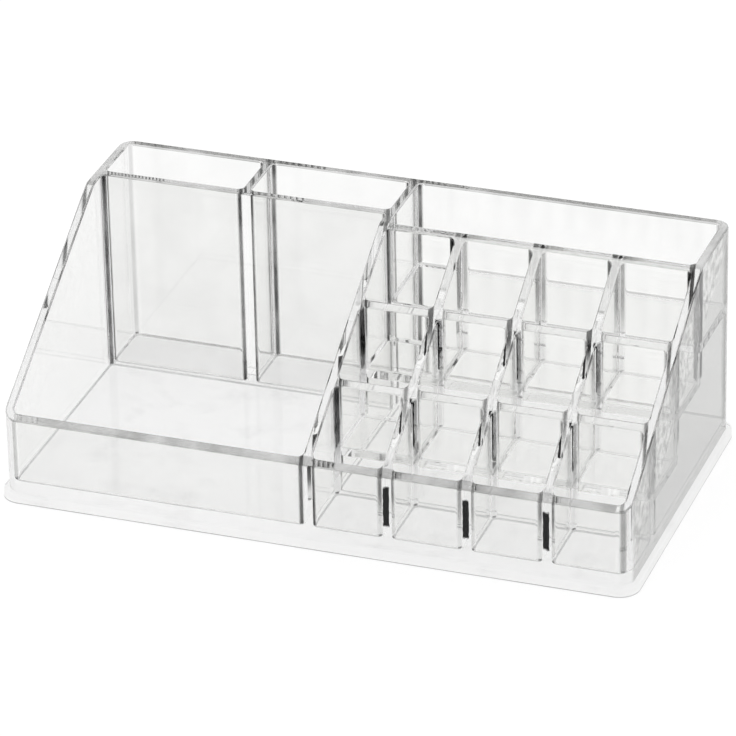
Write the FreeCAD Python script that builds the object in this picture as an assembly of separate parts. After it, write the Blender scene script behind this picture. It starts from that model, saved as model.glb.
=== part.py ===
import FreeCAD, Part
import os

# A clear vanity organizer, bonded together from flat and bent panels on a flanged base plate.
# The frame has X across the front, Y from front to back and Z up; the origin is the middle of
# the base plate's underside. All sizes are millimetres.

# Base plate and floor
base_width = 220.0
base_depth = 120.0
base_thickness = 3.2
base_flange = 2.0            # how far the base plate stands out beyond the walls
floor_thickness = 3.0        # the floor plate that lies on the base, inside the walls
floor_cove = 1.2             # radius of the low coved lip around the floor of every compartment

# Walls
wall_thickness = 3.0
inside_radius = 2.0          # every upright inside corner: the four bends and the ends of the panels
rim_height = 79.0            # level rim above the surface that the organizer stands on
rim_depth = 35.0             # length of the level rim, from the back
front_height = 30.0          # top of the front wall, at its outer face
rim_bend_radius = 6.0        # rounded turn from the level rim to the incline
edge_radius = 0.6            # rounded edge along every rim and around the top of the base plate

# Left bay: an open tray in front of two tall wells
left_bay_width = 101.5
well_depth = 21.7

# Right bay: a deep shelf behind stepped rows of cells
shelf_depth = 30.9
shelf_floor_height = 49.3    # top of the shelf's floor above the surface
row_step = 15.6              # rise from one row's floor to the next
raised_floor_thickness = 2.5
column_count = 4
row_names = ["front", "middle", "upper"]

# Cuts run past what they cut by this much
overrun = 5.0

# Places worked out from the sizes above
outer_corner_radius = inside_radius + wall_thickness
wall_right = base_width / 2 - base_flange
wall_back = base_depth / 2 - base_flange
inner_right = wall_right - wall_thickness
inner_back = wall_back - wall_thickness
bend_start = wall_right - outer_corner_radius
rim_front = wall_back - rim_depth
incline = (rim_height - front_height) / (rim_front + wall_back)
floor_top = base_thickness + floor_thickness

divider_x = -inner_right + left_bay_width + wall_thickness / 2
right_bay_left = divider_x + wall_thickness / 2
right_bay_width = inner_right - right_bay_left
well_wall_y = inner_back - well_depth - wall_thickness / 2
well_pitch = (left_bay_width + wall_thickness) / 2
shelf_wall_y = inner_back - shelf_depth - wall_thickness / 2
row_pitch = (shelf_wall_y + inner_back + wall_thickness / 2) / len(row_names)
column_pitch = (right_bay_width + wall_thickness) / column_count


def point(x, y, z=0):
    return FreeCAD.Vector(x, y, z)


def block(left, right, front, back, bottom, top):
    """A box between three pairs of planes."""
    return Part.makeBox(right - left, back - front, top - bottom, point(left, front, bottom))


def rounded_block(half_width, half_depth, bottom, top, radius):
    """A box centred on the origin with its four upright edges rounded."""
    box = block(-half_width, half_width, -half_depth, half_depth, bottom, top)
    upright = [edge for edge in box.Edges if edge.tangentAt(edge.FirstParameter).z != 0]
    return box.makeFillet(radius, upright)


def rim_envelope():
    """All that lies under the level rim and under the incline in front of it."""
    front = -wall_back - overrun
    back = wall_back + overrun
    side = [
        point(0, back, -overrun),
        point(0, back, rim_height),
        point(0, rim_front, rim_height),
        point(0, front, front_height - incline * overrun),
        point(0, front, -overrun),
    ]
    face = Part.Face(Part.makePolygon(side + side[:1]))
    face.translate(point(-wall_right - overrun, 0))
    solid = face.extrude(point(2 * (wall_right + overrun), 0))
    turn = point(0, rim_front, rim_height)
    crease = min(solid.Edges, key=lambda edge: edge.CenterOfMass.distanceToPoint(turn))
    return solid.makeFillet(rim_bend_radius, [crease])


def fillet_arc(end, along, across):
    """A concave quarter circle from the spread end of a panel to its straight side."""
    half = wall_thickness / 2
    centre = end + along * inside_radius + across * (half + inside_radius)
    middle = centre - (along + across).normalize() * inside_radius
    spread = end + across * (half + inside_radius)
    side = end + along * inside_radius + across * half
    return spread, middle, side


def panel(start, end, bottom):
    """An upright panel between two bonded ends, each spread by a fillet on both sides,
    with its top trimmed to the rim and the incline."""
    along = (end - start).normalize()
    across = point(-along.y, along.x)
    corners = [
        fillet_arc(start, along, across),
        fillet_arc(end, -along, across)[::-1],
        fillet_arc(end, -along, -across),
        fillet_arc(start, along, -across)[::-1],
    ]
    edges = []
    for index, (first, middle, last) in enumerate(corners):
        following = corners[(index + 1) % len(corners)][0]
        edges.append(Part.Arc(first, middle, last).toShape())
        edges.append(Part.makeLine(last, following))
    face = Part.Face(Part.Wire(edges))
    face.translate(point(0, 0, bottom))
    return face.extrude(point(0, 0, rim_height + overrun - bottom)).common(envelope)


def row_floor_top(row):
    """Top of the floor in a row of cells, counted from the front row, which is row 0."""
    return floor_top + row * row_step


def row_wall_y(row):
    """Middle of the wall behind a row of cells."""
    return -inner_back - wall_thickness / 2 + (row + 1) * row_pitch


def outer_walls():
    """Two bent side walls, with the flat back wall and front wall butted between their ends."""
    top = rim_height + overrun
    ring = rounded_block(wall_right, wall_back, base_thickness, top, outer_corner_radius)
    ring = ring.cut(rounded_block(inner_right, inner_back, -overrun, top + overrun, inside_radius))
    ring = ring.common(envelope)
    reach = wall_right + overrun
    depth = wall_back + overrun
    height = top + overrun
    return {
        "left_side_wall": ring.common(block(-reach, -bend_start, -depth, depth, 0, height)),
        "right_side_wall": ring.common(block(bend_start, reach, -depth, depth, 0, height)),
        "front_wall": ring.common(block(-bend_start, bend_start, -depth, 0, 0, height)),
        "back_wall": ring.common(block(-bend_start, bend_start, 0, depth, 0, height)),
    }


def left_bay():
    """The divider between the two bays, and the wall and divider of the wells."""
    bay_right = divider_x - wall_thickness / 2
    well_x = -inner_right - wall_thickness / 2 + well_pitch
    well_front = well_wall_y + wall_thickness / 2
    ends = {
        "centre_divider": [point(divider_x, -inner_back), point(divider_x, inner_back)],
        "well_front_wall": [point(-inner_right, well_wall_y), point(bay_right, well_wall_y)],
        "well_divider": [point(well_x, well_front), point(well_x, inner_back)],
    }
    return {name: panel(start, end, floor_top) for name, (start, end) in ends.items()}


def row_walls():
    """The wall behind each row of cells, which stands on that row's floor."""
    names = ["lower_row_wall", "upper_row_wall", "shelf_front_wall"]
    walls = {}
    for row, name in enumerate(names):
        y = row_wall_y(row)
        walls[name] = panel(point(right_bay_left, y), point(inner_right, y), row_floor_top(row))
    return walls


def row_cells(row):
    """Left, right, front, back and bottom of the clear spaces in one row of cells."""
    front = row_wall_y(row - 1) + wall_thickness / 2
    back = row_wall_y(row) - wall_thickness / 2
    cells = []
    for column in range(column_count):
        left = right_bay_left + column * column_pitch
        cells.append((left, left + column_pitch - wall_thickness, front, back, row_floor_top(row)))
    return cells


def left_bay_spaces():
    """Left, right, front, back and bottom of the tray and the wells."""
    bay_right = divider_x - wall_thickness / 2
    tray_back = well_wall_y - wall_thickness / 2
    well_front = well_wall_y + wall_thickness / 2
    spaces = [(-inner_right, bay_right, -inner_back, tray_back, floor_top)]
    for well in (0, 1):
        left = -inner_right + well * well_pitch
        spaces.append((left, left + well_pitch - wall_thickness, well_front, inner_back, floor_top))
    return spaces


def shelf_space():
    """Left, right, front, back and bottom of the clear space on the shelf."""
    front = shelf_wall_y + wall_thickness / 2
    return right_bay_left, inner_right, front, inner_back, shelf_floor_height


def shaft(left, right, front, back, bottom):
    """An upright clear space that is rounded in its corners."""
    half_width = (right - left) / 2
    half_depth = (back - front) / 2
    space = rounded_block(half_width, half_depth, bottom, rim_height + overrun, inside_radius)
    space.translate(point(left + half_width, front + half_depth))
    return space


def compartment(space):
    """The clear space of a compartment, coved along its floor."""
    clear = shaft(*space)
    floor_face = min(clear.Faces, key=lambda face: face.CenterOfMass.z)
    return clear.makeFillet(floor_cove, floor_face.Edges)


def looks_up(face):
    """Whether a face looks mostly upwards in its middle."""
    first_u, last_u, first_v, last_v = face.ParameterRange
    normal = face.normalAt((first_u + last_u) / 2, (first_v + last_v) / 2)
    return normal.z > abs(normal.x) + abs(normal.y)


def rim_shavings():
    """What rounding takes off the rims, worked out on all uprights at once: one ring around each
    clear space and one around the outside."""
    spaces = left_bay_spaces() + [shelf_space()]
    for row in range(len(row_names)):
        spaces += row_cells(row)
    body = rounded_block(wall_right, wall_back, 0, rim_height + overrun, outer_corner_radius)
    body = body.cut([shaft(*space[:-1], -overrun) for space in spaces]).common(envelope)
    top = Part.Shell([face for face in body.Faces if looks_up(face)])
    return body.cut(body.makeFillet(edge_radius, top.getFreeEdges().Edges)).Solids


def round_rims(solid):
    """An upright with the shavings of its own rims taken off."""
    box = solid.BoundBox
    return solid.cut([ring for ring in shavings if box.intersect(ring.BoundBox)])


def floor(left, front, back, bottom, top, spaces, panels):
    """A floor with a coved lip around each space. Between the lips it has the grooves in which
    its panels stand."""
    plate = block(left, inner_right, front, back, bottom, top + floor_cove)
    inside = rounded_block(inner_right, inner_back, 0, rim_height, inside_radius)
    return plate.common(inside).cut([compartment(space) for space in spaces] + panels)


def all_floors(panels):
    """The floor plate on the base, the floors of the raised rows and the floor of the shelf.
    A raised floor is bonded to the wall in front of it and carries the wall behind it."""
    half = wall_thickness / 2
    under_rows = (right_bay_left, inner_right, row_wall_y(0) + half, inner_back, floor_top)
    ground = left_bay_spaces() + row_cells(0) + [under_rows]
    plate = floor(-inner_right, -inner_back, inner_back, base_thickness, floor_top, ground, panels)
    floors = {"floor_plate": plate}
    for row, name in enumerate(["middle_row_floor", "upper_row_floor"], start=1):
        front = row_wall_y(row - 1) + half
        back = row_wall_y(row) + half
        top = row_floor_top(row)
        bottom = top - raised_floor_thickness
        floors[name] = floor(right_bay_left, front, back, bottom, top, row_cells(row), panels)
    front = shelf_wall_y + half
    top = shelf_floor_height
    bottom = top - raised_floor_thickness
    floors["shelf_floor"] = floor(right_bay_left, front, inner_back, bottom, top, [shelf_space()], panels)
    return floors


def cell_dividers():
    """The short dividers between the columns, which stand on a row's floor between its two walls."""
    dividers = {}
    for row, name in enumerate(row_names):
        front = row_wall_y(row - 1) + wall_thickness / 2
        back = row_wall_y(row) - wall_thickness / 2
        for column in range(1, column_count):
            x = right_bay_left - wall_thickness / 2 + column * column_pitch
            divider = panel(point(x, front), point(x, back), row_floor_top(row))
            dividers[f"{name}_row_divider_{column}"] = divider
    return dividers


def base():
    """The base plate, rounded at its corners and along its upper edge."""
    corner = outer_corner_radius + base_flange
    plate = rounded_block(base_width / 2, base_depth / 2, 0, base_thickness, corner)
    upper_face = max(plate.Faces, key=lambda face: face.CenterOfMass.z)
    return plate.makeFillet(edge_radius, upper_face.Edges)


envelope = rim_envelope()
shavings = rim_shavings()
panels = {**left_bay(), **row_walls(), **cell_dividers()}
nodes = {"base_plate": base(), **all_floors(list(panels.values()))}
for name, solid in {**outer_walls(), **panels}.items():
    nodes[name] = round_rims(solid)

# Every bonded joint is imprinted on both of its pieces, so that the cement area is a face of its own.
names = list(nodes)
solids = [nodes[name].Solids[0] for name in names]
_, imprinted = solids[0].generalFuse(solids[1:])

os.makedirs("parts", exist_ok=True)
for name, pieces in zip(names, imprinted):
    piece = pieces[0].Solids[0]
    piece.exportStep(f"parts/{name}.step")
    print(name, round(piece.Volume), "mm3,", len(piece.Faces), "faces")
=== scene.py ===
# %% [markdown]
# # A clear vanity organizer
# The real object is a small make-up stand of clear plastic: a tray and two tall wells on the left, twelve
# lipstick cells and a raised shelf on the right. All that the eye sees of it is light that polished walls
# have bent, mirrored or tinted. So this lesson is about clear material: meshes that are optically whole,
# finishes that are almost nothing, and a studio that gives the walls something to show.
#
# The measured panels come from the frame. They are the fixed truth of the scene, and their box gives their
# size.

# %% Load the frame
import math

import bmesh
import bpy
from mathutils import Matrix, Vector
from mathutils.bvhtree import BVHTree


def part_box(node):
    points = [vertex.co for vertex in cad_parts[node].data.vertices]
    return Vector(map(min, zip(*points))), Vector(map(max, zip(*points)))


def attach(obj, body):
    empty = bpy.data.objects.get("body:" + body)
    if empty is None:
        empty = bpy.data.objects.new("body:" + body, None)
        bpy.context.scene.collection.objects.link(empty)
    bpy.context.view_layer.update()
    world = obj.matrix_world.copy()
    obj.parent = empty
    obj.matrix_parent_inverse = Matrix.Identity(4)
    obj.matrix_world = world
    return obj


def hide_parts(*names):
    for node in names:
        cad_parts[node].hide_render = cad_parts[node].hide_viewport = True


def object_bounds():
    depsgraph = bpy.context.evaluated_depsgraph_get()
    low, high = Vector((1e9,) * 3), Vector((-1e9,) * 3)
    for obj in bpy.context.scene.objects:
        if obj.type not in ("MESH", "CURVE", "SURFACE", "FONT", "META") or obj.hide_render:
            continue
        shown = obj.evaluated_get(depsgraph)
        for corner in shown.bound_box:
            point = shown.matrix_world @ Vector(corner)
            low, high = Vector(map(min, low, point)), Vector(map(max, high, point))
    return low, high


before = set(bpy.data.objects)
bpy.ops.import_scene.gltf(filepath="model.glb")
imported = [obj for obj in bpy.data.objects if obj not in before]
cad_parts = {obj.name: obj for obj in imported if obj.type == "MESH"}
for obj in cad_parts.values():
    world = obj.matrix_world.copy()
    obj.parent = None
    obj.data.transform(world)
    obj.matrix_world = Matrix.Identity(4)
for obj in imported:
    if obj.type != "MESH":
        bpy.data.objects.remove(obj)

cad_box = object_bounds()
panel_names = sorted(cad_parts)
scene = bpy.context.scene
millimetre = 0.001
sides = [round(side / millimetre, 1) for side in cad_box[1] - cad_box[0]]
print(len(panel_names), "panels in a box of", sides, "mm")

# %% [markdown]
# ## Panels that can be shaded
# A panel of the frame is a heap of loose triangles. That is right for measuring, but a clear wall also needs
# a smooth normal round each bend, or the bend breaks the light like a cut gem. So each panel gets a copy
# whose triangles are welded. A weld distance far below any real detail joins only what belongs together.

# %% Weld a copy of every panel
weld = 0.002 * millimetre


def welded(name):
    """A bmesh of one panel with its loose triangles joined."""
    shell = bmesh.new()
    shell.from_mesh(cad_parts[name].data)
    bmesh.ops.remove_doubles(shell, verts=shell.verts, dist=weld)
    return shell


shells = {name: welded(name) for name in panel_names}
print(sum(len(shell.faces) for shell in shells.values()), "welded triangles")

# %% [markdown]
# ## Cemented faces
# On the real organizer the panels are one clear body: the cement melts two faces together, and light goes
# through the joint as if nothing were there. In Blender two touching faces would still bend the light twice
# and mirror it between them. One could join all panels into a single mesh, but then the pieces would be lost.
# Here each piece stays whole, and the faces that touch a neighbour get a second material that lets light pass
# straight through.
#
# A face touches a neighbour when a point just outside it lies inside the other panel. A BVH tree finds the
# nearest spot on that panel, and the side on which the point lies tells the rest.

# %% Find the faces that touch a neighbour
probe = 0.2 * millimetre
trees = {name: BVHTree.FromBMesh(shell) for name, shell in shells.items()}
boxes = {name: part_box(name) for name in panel_names}


def within(point, box):
    """Whether a point lies in a box."""
    return all(low <= value <= high for value, low, high in zip(point, *box))


def cemented(face, name):
    """Whether a face of a panel lies on another panel."""
    point = face.calc_center_median() + face.normal * probe
    for other, tree in trees.items():
        if other != name and within(point, boxes[other]):
            spot, normal, _, _ = tree.find_nearest(point)
            if (point - spot).dot(normal) < 0:
                return True
    return False


clear_slot, joint_slot, shade_bar_slot, underside_slot, corner_slot = range(5)
joined = 0
for name, shell in shells.items():
    for face in shell.faces:
        face.material_index = joint_slot if cemented(face, name) else clear_slot
        joined += face.material_index == joint_slot
print(joined, "triangles lie in cemented joints")

# %% [markdown]
# ## Dark bars of painted shade in the end joints
# Seen from the front, the upright end of a divider shows a dark bar inside the clear wall: the dark that one
# sees end-on through the sheet. It is painted on the cemented end face as a dark finish, with no piece of its
# own, and it doesn't reach the edges of the joint. A UV map gives the finish its place: across the joint from
# 0 to 1, and up the joint from 0 to 1. Two numbers on each face say how far the painted bar reaches from its
# middle, to the sides and up and down. Every panel gets these layers, because all panels share the finish.

# %% Layers for the painted bars
shade_map = "bead"
shade_bar_reach = "shade_bar_reach"
shade_bar_height = "shade_bar_height"
for shell in shells.values():
    for layer in list(shell.loops.layers.uv.values()):
        shell.loops.layers.uv.remove(layer)
    shell.loops.layers.uv.new(shade_map)
    shell.faces.layers.float.new(shade_bar_reach)
    shell.faces.layers.float.new(shade_bar_height)
print("layers", shade_map, shade_bar_reach, shade_bar_height, "on", len(shells), "panels")

# %% [markdown]
# The end of a panel is the cemented face that looks along its long axis, and the corners of that face are the
# edges of the map. A wall behind a row goes on below the floor that it holds up, so there the map starts at
# that floor.

# %% Map the end joints
level_share = 0.99
shelf_wall = "shelf_front_wall"
floor_behind = {
    "lower_row_wall": "middle_row_floor",
    "upper_row_wall": "upper_row_floor",
    shelf_wall: "shelf_floor",
}


def long_axis(name):
    """0 for a panel that runs along X, 1 for one that runs along Y."""
    low, high = boxes[name]
    return 0 if high.x - low.x > high.y - low.y else 1


def map_end_joint(shell, name, end, reach, tall):
    """Give the cemented face at one end of a panel its own slot and a map from 0 to 1."""
    along = long_axis(name)
    across = 1 - along
    ends = [
        face for face in shell.faces
        if face.material_index == joint_slot and face.normal[along] * end > level_share
    ]
    corners = [loop.vert.co for face in ends for loop in face.loops]
    left = min(corner[across] for corner in corners)
    width = max(corner[across] for corner in corners) - left
    foot = min(corner.z for corner in corners)
    bottom = boxes[floor_behind[name]][1].z if name in floor_behind else foot
    height = max(corner.z for corner in corners) - bottom
    layer = shell.loops.layers.uv[shade_map]
    for face in ends:
        face.material_index = shade_bar_slot
        face[shell.faces.layers.float[shade_bar_reach]] = reach
        face[shell.faces.layers.float[shade_bar_height]] = tall
        for loop in face.loops:
            place = loop.vert.co
            loop[layer].uv = ((place[across] - left) / width, (place.z - bottom) / height)
    return len(ends)


print(sum(long_axis(name) for name in panel_names), "panels run from front to back")

# %% [markdown]
# Not all painted bars are alike. Among the dividers, those of the front row have the broader ones. The walls
# behind the rows have a bar at both ends, nearly as tall as the joint above the floor, and the shelf's wall
# has a narrow one on the left. A divider's bar is at its front, the low end of its long axis. A row wall has
# its low end on the left and its high end on the right.

# %% Lay the painted bars
low_end, high_end = -1, 1
front_reach, front_tall = 0.155, 0.275
rear_reach, rear_tall = 0.07, 0.325
wall_reach, wall_tall = 0.3, 0.47
shelf_left_reach = 0.1

mapped = 0
for name in panel_names:
    if name.startswith("front_row_divider"):
        mapped += map_end_joint(shells[name], name, low_end, front_reach, front_tall)
    elif "row_divider" in name:
        mapped += map_end_joint(shells[name], name, low_end, rear_reach, rear_tall)
    elif name in floor_behind:
        left_reach = shelf_left_reach if name == shelf_wall else wall_reach
        mapped += map_end_joint(shells[name], name, low_end, left_reach, wall_tall)
        mapped += map_end_joint(shells[name], name, high_end, wall_reach, wall_tall)
print(mapped, "triangles carry a bead")

# %% [markdown]
# ## The underside and a painted shadow at its foot
# The face that the organizer stands on is pushed over shelves and vanity tops, and fine scratches have turned
# it satin. It is a face of the base plate like the others, so it only needs a slot of its own.
#
# A thin dark line along the foot of the plate is a painted contact shadow between the plate and the table. It
# outlines the flange, which would be lost on a white table otherwise. A cut with bisect_plane parts that
# lowest strip from the rest of the edge.

# %% Mark the underside
corner_strength = "corner_strength"
# The lowest strip of the foot is painted dark: a painted contact shadow between plate and table.
foot_shadow_height = 0.35 * millimetre
foot_shadow_share = 0.5
for shell in shells.values():
    shell.faces.layers.float.new(corner_strength)
base = shells["base_plate"]
everything = base.verts[:] + base.edges[:] + base.faces[:]
bmesh.ops.bisect_plane(base, geom=everything, plane_co=(0, 0, foot_shadow_height), plane_no=(0, 0, 1))
for face in base.faces:
    if face.normal.z < -level_share:
        face.material_index = underside_slot
    elif face.calc_center_median().z < foot_shadow_height:
        face.material_index = corner_slot
        face[base.faces.layers.float[corner_strength]] = foot_shadow_share
        for loop in face.loops:
            loop[base.loops.layers.uv[shade_map]].uv = (0, 1)
print("a line of dust", foot_shadow_height / millimetre, "mm high runs round the foot")

# %% [markdown]
# ## Flat faces and round bends
# Flat walls must stay flat for the light, and bends round. Triangles in one plane are dissolved into whole
# faces, edges that turn sharply are marked sharp, and the rest is smooth.

# %% Dissolve and mark the sharp edges
flat_angle = math.radians(0.3)
sharp_angle = math.radians(24)


def finish_shell(shell):
    """Whole flat faces, sharp edges where the panel turns a corner, smooth bends elsewhere."""
    bmesh.ops.dissolve_limit(
        shell, angle_limit=flat_angle, verts=shell.verts, edges=shell.edges, delimit={"MATERIAL"}
    )
    for face in shell.faces:
        face.smooth = True
    for edge in shell.edges:
        edge.smooth = abs(edge.calc_face_angle(0)) < sharp_angle


for shell in shells.values():
    finish_shell(shell)
print(sum(len(shell.faces) for shell in shells.values()), "faces after the flat ones were made whole")

# %% [markdown]
# ## Painted shade in the corners
# Each rounded corner gets a thin dark line of painted shade, where the bend shows dark through the clear
# walls. How strong it is differs from joint to joint. Each panel has two shares, the first for its bends that
# face left and the second for those that face right. The lines along the floors are mostly fainter than the
# upright ones.

# %% How much painted shade is in the corners
full_share = 1.0
cell_share = 0.75
open_share = 0.95
cell_foot_share = 0.15
open_foot_share = 0.4
cell_panels = [name for name in panel_names if "row" in name]
upper_dividers = [name for name in panel_names if name.startswith("upper_row_divider")]
corner_shares = {name: (open_share, open_share) for name in panel_names}
corner_shares |= {name: (cell_share, cell_share) for name in cell_panels}
corner_shares |= {name: (full_share, 0.6) for name in upper_dividers}
corner_shares |= {name: (cell_share, full_share) for name in floor_behind}
corner_shares |= {"left_side_wall": (0.3, 0.3), "right_side_wall": (0.6, 0.6), shelf_wall: (full_share, 0.3)}
print(len(cell_panels), "panels belong to the rows of cells")

# %% [markdown]
# The lines could be curves, but a corner already has faces along it: the facets of its bend. Where two of
# them meet, the edge turns only a little, and inwards.

# %% Find the hollow bends
def hollow_bend(edge):
    """Whether an edge is one of the small turns of a hollow bend."""
    return flat_angle < abs(edge.calc_face_angle(0)) < sharp_angle and not edge.is_convex


bend_edges = sum(hollow_bend(edge) for shell in shells.values() for edge in shell.edges)
print(bend_edges, "edges lie in hollow bends")

# %% [markdown]
# The facets in the middle of a bend get the line, and its strength falls off to both sides. The fullest lines
# are wider too. On the panels of the rows the upright lines fade downwards, so their facets get their height
# in the UV map.

# %% Mark the corners
narrow_line = (0.5, 0.9)
wide_line = (0.2, 0.6)
foot_line = (0.7, 0.95)


def rise(value, low, high):
    """0 below low, 1 above high and a straight line between them."""
    return min(max((value - low) / (high - low), 0), 1)


def map_height(shell, face, fades):
    """Map a face's height from 0 to 1 where its line fades downwards, and to 1 where it doesn't."""
    heights = [loop.vert.co.z for loop in face.loops]
    bottom = min(heights)
    height = max(heights) - bottom
    for loop in face.loops:
        share = (loop.vert.co.z - bottom) / height if fades else 1
        loop[shell.loops.layers.uv[shade_map]].uv = (0, share)


def mark_corners(shell, name):
    """Put a line of painted shade along the middle of every hollow bend, fading to both sides."""
    strength = shell.faces.layers.float[corner_strength]
    in_cells = name in cell_panels
    foot_share = cell_foot_share if in_cells else open_foot_share
    marked = 0
    for face in shell.faces:
        if face.material_index == clear_slot and any(hollow_bend(edge) for edge in face.edges):
            upright = 2 * abs(face.normal.x * face.normal.y)
            lying = 2 * abs(face.normal.z) * face.normal.xy.length
            share = corner_shares[name][face.normal.x > 0]
            ramp = wide_line if share == full_share else narrow_line
            line = max(share * rise(upright, *ramp), foot_share * rise(lying, *foot_line))
            if line > 0:
                face.material_index = corner_slot
                face[strength] = line
                map_height(shell, face, in_cells and upright > lying)
                marked += 1
    return marked


print(sum(mark_corners(shell, name) for name, shell in shells.items()), "facets carry a corner line")

# %% [markdown]
# ## Painted shade on rims, bends and side walls
# Rims and bends send light sideways into the plastic and look grey, so that grey is painted into the clear
# finish there as shade. The two side walls get painted shade besides, the grey that they show at a slant.
# Both are told to the finish face by face, as numbers from 0 to 1. Painted masks would do it too, but a face
# knows what it is from its own normal: a rim looks up, a slanted rim looks along the incline, and a bend
# looks between two axes.
# The largest slanted face of the right wall gives the incline.

# %% Find the incline
steepest_share = 0.5
right_rim = [
    face for face in shells["right_side_wall"].faces if steepest_share < face.normal.z < level_share
]
slope = max(right_rim, key=lambda face: face.calc_area())
incline = slope.normal.copy()
slope_level = incline.dot(slope.calc_center_median())
print("the rims slant by", round(math.degrees(math.acos(incline.z)), 1), "degrees")

# %% [markdown]
# The shares of painted shade were set wall by wall, by comparing renders with the photograph. The back wall's
# rim is the darkest, and the shelf wall's is the palest of the level ones. Slanted rims stay almost clear,
# but for the front wall's. The roundings beside the rims are paler in the cells than elsewhere.

# %% How much painted shade the rims get
level_rim_shares = {name: 0.6 if long_axis(name) else 1.0 for name in panel_names}
level_rim_shares["well_front_wall"] = 0.6
shelf_rim_share = 0.25
front_slant_share = 0.75
slant_share = 0.05
cell_rounding_share = 0.35
rounding_share = 0.8


def rim_grey_shade(face, name):
    """How much painted shade one face along a rim gets."""
    in_cells = name in cell_panels
    if name == shelf_wall:
        return shelf_rim_share
    if face.normal.z > level_share:
        return level_rim_shares[name]
    if face.normal.dot(incline) > level_share:
        return slant_share if in_cells or long_axis(name) else front_slant_share
    return cell_rounding_share if in_cells else rounding_share


print("smoke on a rim goes from", slant_share, "to", max(level_rim_shares.values()))

# %% [markdown]
# Away from the rims a few walls get a trace of painted shade all over, and the bends of the side walls differ
# from front to rear. Plates and floors stay clear.

# %% Mark the painted shade
# Each face gets its share of painted shade: grey on rims and bends, and grey at a slant on the side walls.
grey_shade_mark = "grey_shade"
slant_shade_mark = "slant_shade"
rim_start_share = 0.05
bend_ramp = (0.2, 0.7)
bend_share = 0.5
front_bend_shares = {"left_side_wall": 0.12, "right_side_wall": 0.12}
rear_bend_shares = {"left_side_wall": 0.1, "right_side_wall": 1.0}
panel_grey_shade_shares = {"well_front_wall": 0.1, "front_wall": 0.05, "back_wall": 0.075, "left_side_wall": 0.025}
panel_slant_shade_shares = {"left_side_wall": 0.1, "right_side_wall": 0.72}
lying_panels = [name for name in panel_names if name.endswith(("plate", "floor"))]


def mark_grey_shade(shell, name):
    """Say how much painted shade each face of a panel gets, on rims and bends and at a slant."""
    grey_shade = shell.faces.layers.float.new(grey_shade_mark)
    slant_shade = shell.faces.layers.float.new(slant_shade_mark)
    for face in shell.faces:
        face[grey_shade] = panel_grey_shade_shares.get(name, 0)
        if name in lying_panels:
            continue
        if face.normal.z > rim_start_share:
            face[grey_shade] = rim_grey_shade(face, name)
        else:
            bend = 2 * abs(face.normal.x * face.normal.y)
            shares = rear_bend_shares if face.calc_center_median().y > 0 else front_bend_shares
            face[grey_shade] = max(face[grey_shade], shares.get(name, bend_share) * rise(bend, *bend_ramp))
            face[slant_shade] = panel_slant_shade_shares.get(name, 0)


for name, shell in shells.items():
    mark_grey_shade(shell, name)
print(len(panel_names) - len(lying_panels), "standing panels have smoky rims and bends")

# %% [markdown]
# ## The pieces
# Each marked copy becomes an object that stands for its panel. A Subdivision Surface would smooth the bends
# too, but it would leave the measured shape. The Weighted Normal modifier moves no face: it leans each normal
# to the largest face beside it, so a flat wall keeps its own normal right up to the bend.

# %% Make the pieces
favour_large_faces = 100
pieces = {}
for name, shell in shells.items():
    mesh = bpy.data.meshes.new("clear_" + name)
    shell.to_mesh(mesh)
    shell.free()
    piece = bpy.data.objects.new("clear_" + name, mesh)
    scene.collection.objects.link(piece)
    lean = piece.modifiers.new("flat faces keep their normals", "WEIGHTED_NORMAL")
    lean.keep_sharp = True
    lean.weight = favour_large_faces
    pieces[name] = piece
print(len(pieces), "pieces with", sum(len(piece.data.polygons) for piece in pieces.values()), "faces")

# %% [markdown]
# ## Effects that the finishes share
# Three small effects make the difference between glass from a textbook and plastic from a shop. They are node
# groups, built once, so that each finish can use them with its own values. A few helpers come first, so that
# the nodes read as sums and products and not as boxes and wires.

# %% Helpers for nodes
def feed(tree, socket, value):
    """Set a socket to a number, or link it to another socket."""
    if isinstance(value, (int, float)):
        socket.default_value = value
    else:
        tree.links.new(value, socket)


def math_node(tree, operation, *values):
    """A Math node whose inputs are sockets or numbers. Returns its output."""
    node = tree.nodes.new("ShaderNodeMath")
    node.operation = operation
    for socket, value in zip(node.inputs, values):
        feed(tree, socket, value)
    return node.outputs[0]


def soft_step(tree, value, low, high):
    """0 below low, 1 above high and a smooth rise between them."""
    node = tree.nodes.new("ShaderNodeMapRange")
    node.interpolation_type = "SMOOTHSTEP"
    for socket, source in zip(node.inputs, (value, low, high)):
        feed(tree, socket, source)
    return node.outputs[0]


def spread(tree, share, low, high):
    """Low where the share is 0, high where it is 1."""
    span = math_node(tree, "SUBTRACT", high, low)
    return math_node(tree, "ADD", math_node(tree, "MULTIPLY", share, span), low)


def object_noise(tree, scale, detail):
    """A noise over the object's own coordinates."""
    place = tree.nodes.new("ShaderNodeTexCoord")
    noise = tree.nodes.new("ShaderNodeTexNoise")
    noise.inputs["Detail"].default_value = detail
    tree.links.new(place.outputs["Object"], noise.inputs["Vector"])
    feed(tree, noise.inputs["Scale"], scale)
    return noise.outputs["Fac"]


print("helpers for sums, steps and noise")

# %% [markdown]
# *Unevenness*: the painted shade and shadow are not even. A noise over the object's own coordinates, spread
#               between a least and a most value, thins them here and thickens them there.

# %% Group: unevenness
cloud_detail = 3.0
thin_cloud, thick_cloud = 0.3, 0.7


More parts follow.
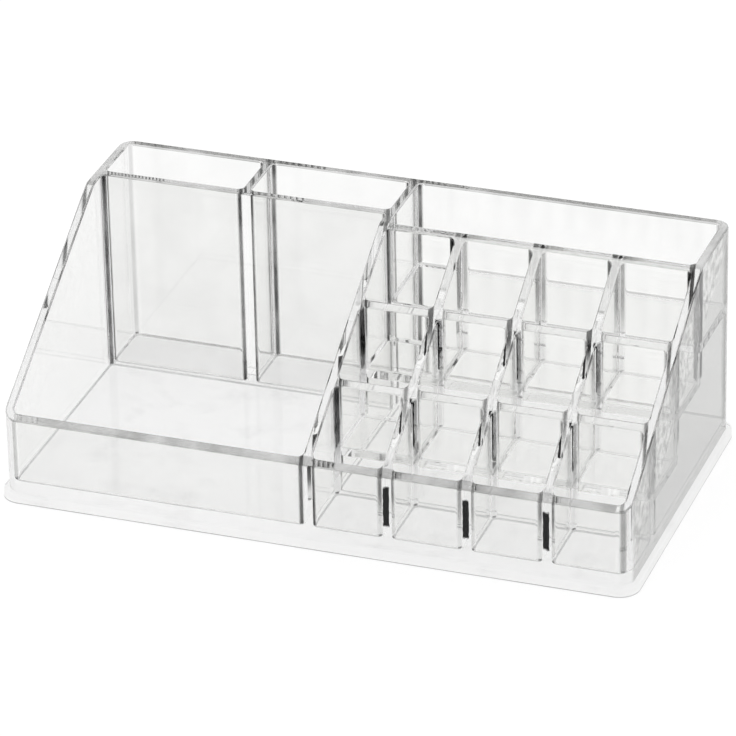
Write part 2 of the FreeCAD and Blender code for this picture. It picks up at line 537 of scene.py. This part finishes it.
def new_group(name, inputs, output):
    """An empty shader group with named float sockets: its tree, its inputs and the socket to fill."""
    group = bpy.data.node_groups.new(name, "ShaderNodeTree")
    for title, value in inputs.items():
        socket = group.interface.new_socket(title, in_out="INPUT", socket_type="NodeSocketFloat")
        socket.default_value = value
    group.interface.new_socket(output, in_out="OUTPUT", socket_type="NodeSocketFloat")
    entry = group.nodes.new("NodeGroupInput")
    leaving = group.nodes.new("NodeGroupOutput")
    return group, entry.outputs, leaving.inputs[output]


uneven, given, mask = new_group("uneven", {"Scale": 200.0, "Least": 0.0, "Most": 1.0}, "Mask")
clouds = object_noise(uneven, given["Scale"], cloud_detail)
cloudy = soft_step(uneven, clouds, thin_cloud, thick_cloud)
uneven.links.new(spread(uneven, cloudy, given["Least"], given["Most"]), mask)
print("group", uneven.name)

# %% [markdown]
# *Waves*: no clear wall of a household article is as flat as float glass. It has slow waves a few centimetres
# long, which make straight lines behind it swim a little. A noise with little detail gives their height.

# %% Group: waves
wave_detail = 1.0
waves, given, height = new_group("waves", {"Scale": 40.0}, "Height")
waves.links.new(object_noise(waves, given["Scale"], wave_detail), height)
print("group", waves.name)

# %% [markdown]
# *Handling*: fingers and cloths leave patches that are a little less than polished. A broad noise makes the
# patches and a fine one breaks them up.

# %% Group: handling
patch_scale, speck_scale = 55.0, 900.0
patch_edge, patch_middle = 0.5, 0.8
handling, given, dullness = new_group("handling", {"Polished": 0.0, "Dulled": 0.05}, "Dullness")
broad = object_noise(handling, patch_scale, cloud_detail)
fine = object_noise(handling, speck_scale, cloud_detail)
patches = math_node(handling, "MULTIPLY", soft_step(handling, broad, patch_edge, patch_middle), fine)
handling.links.new(spread(handling, patches, given["Polished"], given["Dulled"]), dullness)
print("group", handling.name)

# %% [markdown]
# ## Clear plastic
# Polished acrylic bends light by an index of 1.49 and takes a few percent of it at every wall. The base
# colour is that loss. Light that goes through a wall at a slant has a longer way in the plastic and loses
# more. A volume would reckon this out by itself, at the cost of slower renders. Here Layer Weight gives the
# slant, and a second tint stands for the longer way. That tint is far darker than the longer way alone makes
# it, so it is partly painted shade: the dark outlines of walls seen at a slant.

# %% Tint of a clear wall
wall_tint = (0.982, 0.983, 0.978)
# The grazed tint is partly painted shade: walls at a slant are drawn with dark outlines.
grazed_tint_and_shade = (0.82, 0.823, 0.812)
even_blend = 0.5
slanted, grazed = 0.5, 0.95


def new_finish(name):
    """A new material, its node tree and its shader."""
    material = bpy.data.materials.new(name)
    material.use_nodes = True
    return material, material.node_tree, material.node_tree.nodes["Principled BSDF"]


def mix_colours(tree, factor, first, second):
    """A mix of two colours, each a socket or three numbers. Returns its output."""
    node = tree.nodes.new("ShaderNodeMix")
    node.data_type = "RGBA"
    tree.links.new(factor, node.inputs["Factor"])
    for title, colour in (("A", first), ("B", second)):
        if isinstance(colour, tuple):
            node.inputs[title].default_value = (*colour, 1)
        else:
            tree.links.new(colour, node.inputs[title])
    return node.outputs["Result"]


clear, tree, clear_shader = new_finish("clear_plastic")
layer_weight = tree.nodes.new("ShaderNodeLayerWeight")
layer_weight.inputs["Blend"].default_value = even_blend
slant = layer_weight.outputs["Facing"]
path_tint_and_shade = mix_colours(tree, soft_step(tree, slant, slanted, grazed), wall_tint, grazed_tint_and_shade)
print(clear.name, "is tinted")

# %% [markdown]
# The painted shade of rims and bends is read from the faces. The group for unevenness makes it cloudy.

# %% Painted grey shade of rims and bends
shade_cloud_scale, thin_grey_shade, thick_grey_shade = 70.0, 0.75, 1.25


def place_group(tree, group, **values):
    """A group node with its inputs set. Returns its output."""
    node = tree.nodes.new("ShaderNodeGroup")
    node.node_tree = group
    for title, value in values.items():
        node.inputs[title].default_value = value
    return node.outputs[0]


def face_value(tree, mark):
    """The number that the faces carry under a name."""
    node = tree.nodes.new("ShaderNodeAttribute")
    node.attribute_name = mark
    return node.outputs["Fac"]


shady = place_group(tree, uneven, Scale=shade_cloud_scale, Least=thin_grey_shade, Most=thick_grey_shade)
grey_shade = math_node(tree, "MULTIPLY", face_value(tree, grey_shade_mark), shady)
print("smoke varies from", thin_grey_shade, "to", thick_grey_shade, "of what the faces say")

# %% [markdown]
# The painted shade of the side walls shows only at a slant, as the grey of a sheet's edge does: seen straight
# on, the wall is clear. Beside the cells it is mottled, a painted reflection of all the small corners that
# the wall mirrors there. How far a point lies below the incline tells whether it is beside the cells. The
# painted shade of rims, bends and side walls then darkens the tint.

# %% Painted shade and reflection at a slant
# The dark tint of the painted shade, mottled beside the cells by painted reflections.
shade_tint = (0.16, 0.161, 0.155)
reflection_mottle_scale, reflection_mottle = 350.0, 0.4
cell_depth = 22 * millimetre
reflection_mottle_fade = 3 * millimetre
slant_shade_start, slant_shade_full = 0.4, 0.75
place = tree.nodes.new("ShaderNodeTexCoord")
level = tree.nodes.new("ShaderNodeVectorMath")
level.operation = "DOT_PRODUCT"
level.inputs[1].default_value = incline
tree.links.new(place.outputs["Object"], level.inputs[0])
lowest = slope_level - cell_depth
beside_cells = soft_step(tree, level.outputs["Value"], lowest, lowest + reflection_mottle_fade)
specks = place_group(tree, uneven, Scale=reflection_mottle_scale, Least=-reflection_mottle, Most=reflection_mottle)
reflection_mottling = math_node(tree, "ADD", math_node(tree, "MULTIPLY", specks, beside_cells), 1.0)
slant_shade = math_node(tree, "MULTIPLY", face_value(tree, slant_shade_mark), reflection_mottling)
seen_slant_shade = math_node(tree, "MULTIPLY", slant_shade, soft_step(tree, slant, slant_shade_start, slant_shade_full))
darkness = math_node(tree, "ADD", grey_shade, seen_slant_shade)
tree.links.new(mix_colours(tree, darkness, path_tint_and_shade, shade_tint), clear_shader.inputs["Base Color"])
print("the mottled haze starts", cell_depth / millimetre, "mm below the incline")

# %% [markdown]
# What is left is plain: the index, full transmission, a mirror image that is weaker than that of new glass,
# the dull patches of handling as roughness, and the waves as a very shallow bump.

# %% Polish and waves of the plastic
acrylic_index = 1.49
mirror_tint = (0.6, 0.6, 0.6, 1)
dulled_roughness = 0.04
wave_height = 0.04 * millimetre
clear_shader.inputs["IOR"].default_value = acrylic_index
clear_shader.inputs["Transmission Weight"].default_value = 1.0
clear_shader.inputs["Specular Tint"].default_value = mirror_tint
tree.links.new(place_group(tree, handling, Dulled=dulled_roughness), clear_shader.inputs["Roughness"])
bump = tree.nodes.new("ShaderNodeBump")
bump.inputs["Distance"].default_value = wave_height
tree.links.new(place_group(tree, waves), bump.inputs["Height"])
tree.links.new(bump.outputs["Normal"], clear_shader.inputs["Normal"])
print(clear.name, "with", len(tree.nodes), "nodes")

# %% [markdown]
# ## Joints and painted bars
# A cemented face is invisible. Clear plastic would mirror here too, because to Blender there is air behind
# every face. Alpha 0 lets the light through without bending or mirroring it.

# %% Joints
joint, _, joint_shader = new_finish("cemented_joint")
joint_shader.inputs["Alpha"].default_value = 0.0
print(joint.name, "lets light through")

# %% [markdown]
# On the end joints the painted bar is the exception, a dark bar of painted shade that two soft steps cut out
# of the map, ragged at its edge. It is matt, with no polished face of its own.

# %% Painted bars
# A dark bar of painted shade on each end joint.
shade_bar_grey = (0.004, 0.004, 0.004, 1)
shade_roughness = 0.5
middle_across, middle_upwards = 0.5, 0.47
shade_bar_blur = 0.015
ragged_scale = 500.0


def mapped_place(tree):
    """The place on the map of an end joint or a corner: across it and up it."""
    uv = tree.nodes.new("ShaderNodeUVMap")
    uv.uv_map = shade_map
    parts = tree.nodes.new("ShaderNodeSeparateXYZ")
    tree.links.new(uv.outputs["UV"], parts.inputs[0])
    return parts.outputs["X"], parts.outputs["Y"]


def within_shade_bar(tree, place, middle, mark, ragged):
    """1 nearer to the middle than the faces' number says, 0 further away."""
    away = math_node(tree, "ABSOLUTE", math_node(tree, "SUBTRACT", place, middle))
    spare = math_node(tree, "SUBTRACT", face_value(tree, mark), math_node(tree, "ADD", away, ragged))
    return soft_step(tree, spare, -shade_bar_blur, shade_bar_blur)


bead, tree, shader = new_finish("painted_shade_bar")
shader.inputs["Base Color"].default_value = shade_bar_grey
shader.inputs["Roughness"].default_value = shade_roughness
shader.inputs["Specular IOR Level"].default_value = 0.0
across, upwards = mapped_place(tree)
ragged = place_group(tree, uneven, Scale=ragged_scale, Least=-shade_bar_blur, Most=shade_bar_blur)
sideways = within_shade_bar(tree, across, middle_across, shade_bar_reach, ragged)
lengthways = within_shade_bar(tree, upwards, middle_upwards, shade_bar_height, ragged)
tree.links.new(math_node(tree, "MULTIPLY", sideways, lengthways), shader.inputs["Alpha"])
print(bead.name, "with", len(tree.nodes), "nodes")

# %% [markdown]
# ## Painted shade and shadow in lines
# The painted shade in the corners and the painted shadow at the foot are the same kind of finish: dark grey
# and matt, as dense as the facets say, uneven, and thinner towards the lower end where the map says so. A
# tint in the clear plastic wouldn't do, because light that a face mirrors doesn't take on its base colour.

# %% Lines of painted shade and shadow
# Painted shade along the corners and a painted shadow along the foot.
line_grey = (0.01, 0.01, 0.01, 1)
thin_line, thick_line = 0.75, 1.0
foot_density = 0.2
fade_foot, fade_top = 0.2, 0.7

corner, tree, shader = new_finish("painted_line_shade")
shader.inputs["Base Color"].default_value = line_grey
shader.inputs["Roughness"].default_value = shade_roughness
shader.inputs["Specular IOR Level"].default_value = 0.0
thinned = place_group(tree, uneven, Scale=shade_cloud_scale, Least=thin_line, Most=thick_line)
line = math_node(tree, "MULTIPLY", thinned, face_value(tree, corner_strength))
_, upwards = mapped_place(tree)
fading = math_node(tree, "MULTIPLY", soft_step(tree, upwards, fade_foot, fade_top), 1 - foot_density)
density = math_node(tree, "ADD", fading, foot_density)
tree.links.new(math_node(tree, "MULTIPLY", line, density), shader.inputs["Alpha"])
print(corner.name, "fades to", foot_density, "of its density")

# %% [markdown]
# ## The underside
# The scuffs on the underside scatter light, and between them one looks straight down on the table. Rough
# glass would do it too, but it takes more samples to come out clean. So the underside is a thin pale film:
# satin where the scuffs are, and otherwise almost see-through.

# %% Scuffed underside
film_grey = (0.9, 0.9, 0.9, 1)
film_roughness = 0.6
film_least, film_most = 0.08, 0.3
underside, tree, shader = new_finish("scuffed_underside")
shader.inputs["Base Color"].default_value = film_grey
shader.inputs["Roughness"].default_value = film_roughness
scuffs = place_group(tree, handling, Polished=film_least, Dulled=film_most)
tree.links.new(scuffs, shader.inputs["Alpha"])
print("the underside has a satin film")

# %% [markdown]
# ## Dressing
# Every piece gets the five finishes in the order of the slots that its faces name. It rides on the one body
# of the organizer and stands for the panel that it was copied from.

# %% Dress the pieces
for name, piece in pieces.items():
    for material in (clear, joint, bead, underside, corner):
        piece.data.materials.append(material)
    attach(piece, "root")
    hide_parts(name)
print(len(pieces), "clear pieces")

# %% [markdown]
# ## The studio
# Clear objects are photographed on a light table: a sheet of white acrylic that glows by itself, so that the
# background shines through every wall. A large disc does for the sheet. It lies a hair below the organizer,
# because two faces in one place would render blotchy.

# %% Light table
table_radius = 1.5
table_corners = 96
table_gap = 0.2 * millimetre
disc = bmesh.new()
bmesh.ops.create_circle(disc, cap_ends=True, segments=table_corners, radius=table_radius)
bmesh.ops.translate(disc, verts=disc.verts, vec=(0, 0, -table_gap))
table_mesh = bpy.data.meshes.new("light_table")
disc.to_mesh(table_mesh)
disc.free()
table = bpy.data.objects.new("light_table", table_mesh)
scene.collection.objects.link(table)
print("table of", table_radius, "m radius")

# %% [markdown]
# The sheet is part glow and part paint, because only paint can hold a shadow. Both together come to white.
# The glow is for rays that look at the table, straight, in a mirror image or through a clear wall. Light Path
# tells them from the rays that gather light for a matt face.

# %% Opal acrylic
paint_grey = (0.25, 0.25, 0.25, 1)
glow_colour = (1, 1, 1, 1)
glow = 0.83
opal, tree, shader = new_finish("opal_acrylic")
shader.inputs["Base Color"].default_value = paint_grey
shader.inputs["Roughness"].default_value = 1.0
shader.inputs["Specular IOR Level"].default_value = 0.0
shader.inputs["Emission Color"].default_value = glow_colour
rays = tree.nodes.new("ShaderNodeLightPath").outputs
seen_or_mirrored = math_node(tree, "MAXIMUM", rays["Is Camera Ray"], rays["Is Glossy Ray"])
looked_at = math_node(tree, "MAXIMUM", seen_or_mirrored, rays["Is Transmission Ray"])
tree.links.new(math_node(tree, "MULTIPLY", looked_at, glow), shader.inputs["Emission Strength"])
table.data.materials.append(opal)
print(opal.name, "glows with", glow)

# %% [markdown]
# The room around the table is a gradient over height: white at the horizon, where the sweep of the backdrop
# would be, a little dimmer above it, and white again overhead, where a large softbox hangs. Lamps would show
# as hard spots in the polished walls. The gradient is the same all round, so the organizer is lit alike from
# every side.

# %% Room
room = [(0.08, 1.0), (0.26, 0.8), (0.6, 0.8), (0.78, 1.0)]
world = bpy.data.worlds.new("studio")
scene.world = world
world.use_nodes = True
tree = world.node_tree
direction = tree.nodes.new("ShaderNodeTexCoord")
parts = tree.nodes.new("ShaderNodeSeparateXYZ")
tree.links.new(direction.outputs["Generated"], parts.inputs[0])
gradient = tree.nodes.new("ShaderNodeValToRGB")
stops = gradient.color_ramp.elements
stops.remove(stops[1])
for index, (position, brightness) in enumerate(room):
    stop = stops[0] if index == 0 else stops.new(position)
    stop.position = position
    stop.color = (brightness, brightness, brightness, 1)
tree.links.new(parts.outputs["Z"], gradient.inputs["Fac"])
tree.links.new(gradient.outputs["Color"], tree.nodes["Background"].inputs["Color"])
print(len(room), "stops from the horizon to overhead")

# %% [markdown]
# ## The camera
# The camera stands where the photograph was taken: twenty degrees to the right, twenty-eight above, far away
# with a long lens, and tilted by a hair. It swings about a point near the middle of the organizer.

# %% Camera
view_azimuth = math.radians(19.748)
view_elevation = math.radians(27.933)
view_roll = math.radians(1.206)
view_distance = 1.8358
aim = Vector((-0.0002, 0, 0.0365))
photo_side = 736
focal_pixels = 5540.0
film_width = 36

lens = bpy.data.cameras.new("camera")
lens.sensor_width = film_width
lens.lens = focal_pixels / photo_side * film_width
camera = bpy.data.objects.new("camera", lens)
scene.collection.objects.link(camera)
turn = (
    Matrix.Rotation(view_azimuth, 4, "Z")
    @ Matrix.Rotation(math.pi / 2 - view_elevation, 4, "X")
    @ Matrix.Rotation(-view_roll, 4, "Z")
)
camera.matrix_world = Matrix.Translation(aim) @ turn @ Matrix.Translation((0, 0, view_distance))
scene.camera = camera
print("camera at", [round(value, 4) for value in camera.matrix_world.translation])

# %% [markdown]
# A ray can pass dozens of faces before it leaves the organizer, so Cycles is allowed that many bounces. With
# too few, clear walls behind clear walls turn dark. The Standard view shows colours as they are written.

# %% Bounces and view
bounces = 64
see_through_faces = 128
scene.view_settings.view_transform = "Standard"
scene.cycles.max_bounces = bounces
scene.cycles.transmission_bounces = bounces
scene.cycles.glossy_bounces = bounces
scene.cycles.transparent_max_bounces = see_through_faces
print(bounces, "bounces and", see_through_faces, "see-through faces")
